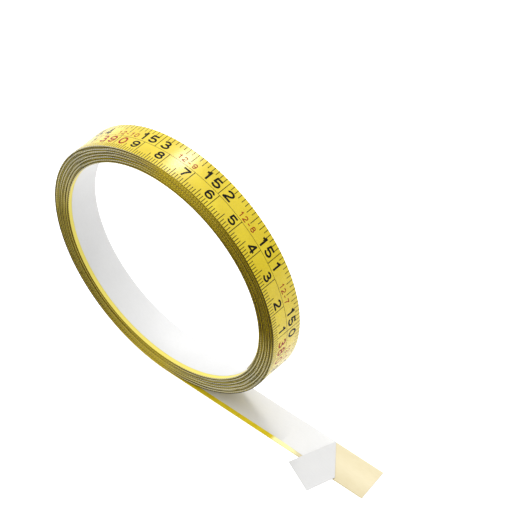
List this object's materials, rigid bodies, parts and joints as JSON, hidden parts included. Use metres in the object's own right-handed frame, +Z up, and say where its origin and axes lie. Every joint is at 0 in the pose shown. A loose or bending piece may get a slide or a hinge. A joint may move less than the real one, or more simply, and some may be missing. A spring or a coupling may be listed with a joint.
{
  "type": "self-adhesive tape measure",
  "caption": "Wound roll of yellow self-adhesive bench measuring tape, its free end lying flat with the release liner peeled back.",
  "frame": {"origin": "on the ground under the ring's axis, at the middle of the strip's width", "axes": "+Z up, +X along the free end, +Y along the ring's axis towards the inch edge of the strip"},
  "size_m": [0.1241, 0.0221, 0.09],
  "materials": {
    "lacquer": "gloss",
    "core_steel": "satin",
    "adhesive": "satin",
    "liner": "matte"
  },
  "bodies": {
    "coil": {"coil_lacquer": "lacquer", "coil_steel": "core_steel", "coil_adhesive": "adhesive", "coil_liner": "liner"},
    "tail_root": {"root_lacquer": "lacquer", "root_steel": "core_steel", "root_adhesive": "adhesive", "root_liner": "liner"},
    "tail_mid": {"mid_lacquer": "lacquer", "mid_steel": "core_steel", "mid_adhesive": "adhesive", "mid_liner": "liner"},
    "tail_tip": {"tip_lacquer": "lacquer", "tip_steel": "core_steel", "tip_adhesive": "adhesive", "tip_liner": "liner"},
    "peeled_liner": {"liner_flap": "liner"}
  },
  "joints": [
    {"name": "tail_bend", "type": "hinge", "parent": "coil", "child": "tail_root", "pos_m": [0.02, 0, 0.00019], "axis": [0, -1, 0], "range_deg": [-40, 30], "stiffness_Nm_per_rad": 0.03},
    {"name": "tail_twist", "type": "hinge", "parent": "tail_root", "child": "tail_mid", "pos_m": [0.033, 0, 0.00019], "axis": [1, 0, 0], "range_deg": [-20, 20], "stiffness_Nm_per_rad": 0.004},
    {"name": "tip_bend", "type": "hinge", "parent": "tail_mid", "child": "tail_tip", "pos_m": [0.046, 0, 0.00019], "axis": [0, -1, 0], "range_deg": [-45, 30], "stiffness_Nm_per_rad": 0.03},
    {"name": "liner_peel", "type": "hinge", "parent": "tail_tip", "child": "peeled_liner", "pos_m": [0.0588, 0.006, 0.00038], "axis": [0.6247, -0.7809, 0], "range_deg": [-163, 13]}
  ]
}
